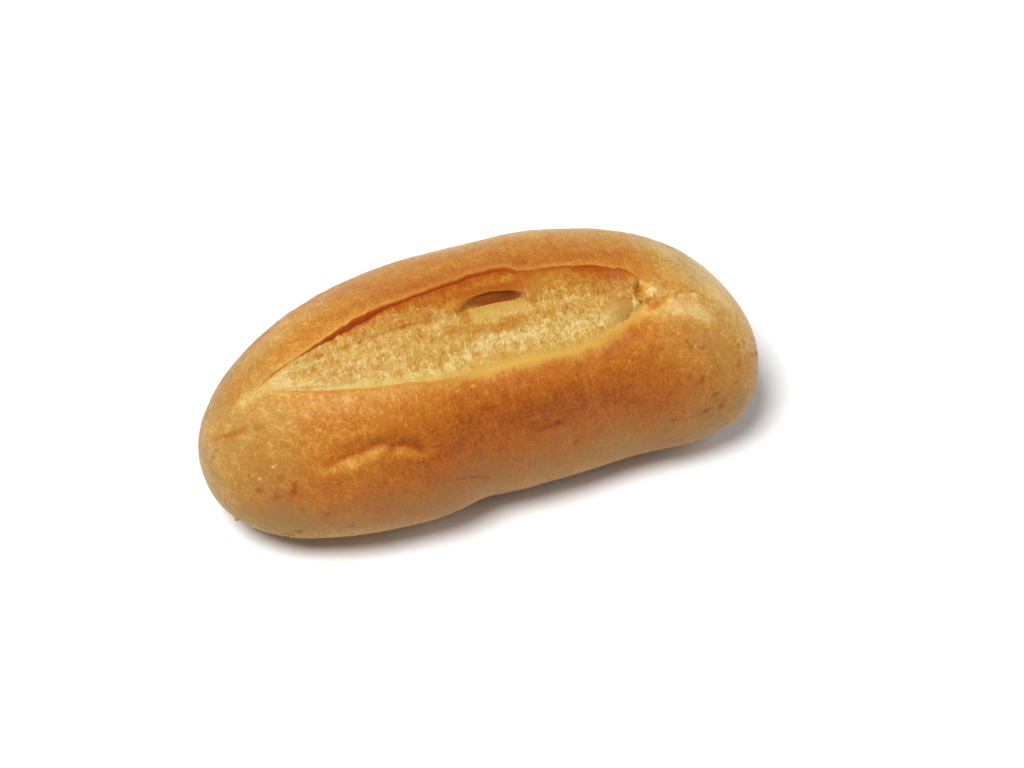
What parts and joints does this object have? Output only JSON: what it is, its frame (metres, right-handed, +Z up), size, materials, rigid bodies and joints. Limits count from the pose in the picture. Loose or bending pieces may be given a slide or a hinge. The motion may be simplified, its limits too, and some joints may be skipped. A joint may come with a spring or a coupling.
{
  "type": "bread roll",
  "caption": "Small oblong baked bread roll with a golden crust, opened along its top by one long score over paler torn crumb; flat underside.",
  "frame": {"origin": "under the middle of the roll's bounding box, in the plane that it rests on", "axes": "+X along the roll towards its blunt end, +Y across it towards the raised lip of the score, +Z up from the tray"},
  "size_m": [0.14, 0.0672, 0.0506],
  "materials": {
    "crust": "satin, dry baked crust"
  },
  "bodies": {
    "root": {"bread_roll": "crust"}
  },
  "joints": []
}
